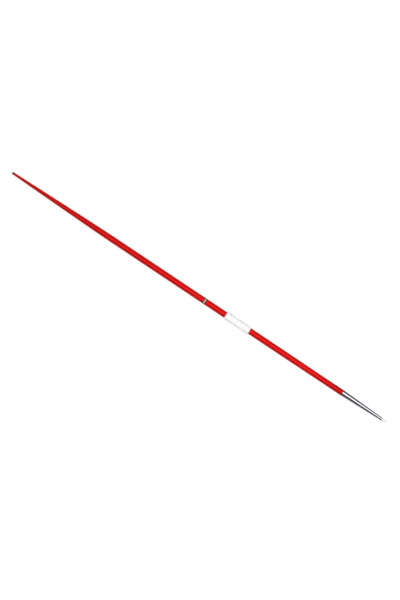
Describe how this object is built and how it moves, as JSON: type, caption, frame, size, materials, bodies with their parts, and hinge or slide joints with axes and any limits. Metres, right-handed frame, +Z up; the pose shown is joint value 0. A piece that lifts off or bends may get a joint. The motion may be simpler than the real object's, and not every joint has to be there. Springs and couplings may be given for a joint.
{
  "type": "javelin",
  "caption": "Throwing javelin: slim red metal shaft with a long drawn tail, bright conical steel head with a blunt white nose, white corded grip and a black and white marker ring.",
  "frame": {"origin": "on the surface that the grip rests on, under the shaft's axis, halfway along the javelin's length", "axes": "+X along the shaft towards the tip, +Z up away from the surface"},
  "size_m": [1.87, 0.034, 0.0338],
  "materials": {
    "red_paint": "satin",
    "bright_steel": "polished",
    "bare_aluminium": "satin",
    "grey_steel": "satin",
    "white_nylon": "satin",
    "white_cord": "matte",
    "cotton_tape": "matte",
    "white_tape": "satin",
    "black_tape": "satin",
    "black_nylon": "satin"
  },
  "bodies": {
    "root": {"shaft_tube": "red_paint", "head_shell": "bright_steel", "head_plug": "bare_aluminium", "head_ballast": "grey_steel", "nose_tip": "white_nylon", "grip_underlay": "cotton_tape", "grip_cord": "white_cord", "marker_front_black": "black_tape", "marker_white": "white_tape", "marker_rear_black": "black_tape", "tail_plug": "black_nylon"}
  },
  "joints": []
}
